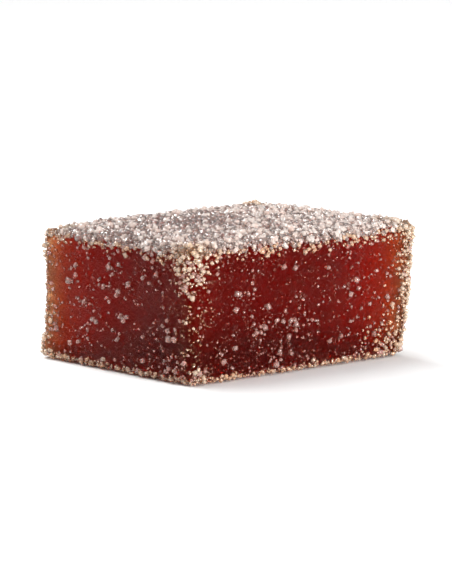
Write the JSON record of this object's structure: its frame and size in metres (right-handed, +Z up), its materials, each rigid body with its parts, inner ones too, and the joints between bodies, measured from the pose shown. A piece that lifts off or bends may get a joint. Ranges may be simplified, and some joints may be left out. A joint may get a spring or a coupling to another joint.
{
  "type": "pate de fruit",
  "caption": "Hand-cut block of dark red fruit jelly with uneven cut sides, rounded rims and a crust of granulated sugar, lying flat on its underside.",
  "frame": {"origin": "middle of the flat underside, where the block rests", "axes": "+Z up out of the sugared top face, +X along the block's longer side, +Y along its shorter side"},
  "size_m": [0.0298, 0.0246, 0.0136],
  "materials": {
    "fruit_jelly": "translucent dark red jelly with a sugar-frosted, matte surface",
    "sugar": "clear white granulated sugar crystals"
  },
  "bodies": {
    "root": {"pate_de_fruit": "fruit_jelly"}
  },
  "joints": []
}
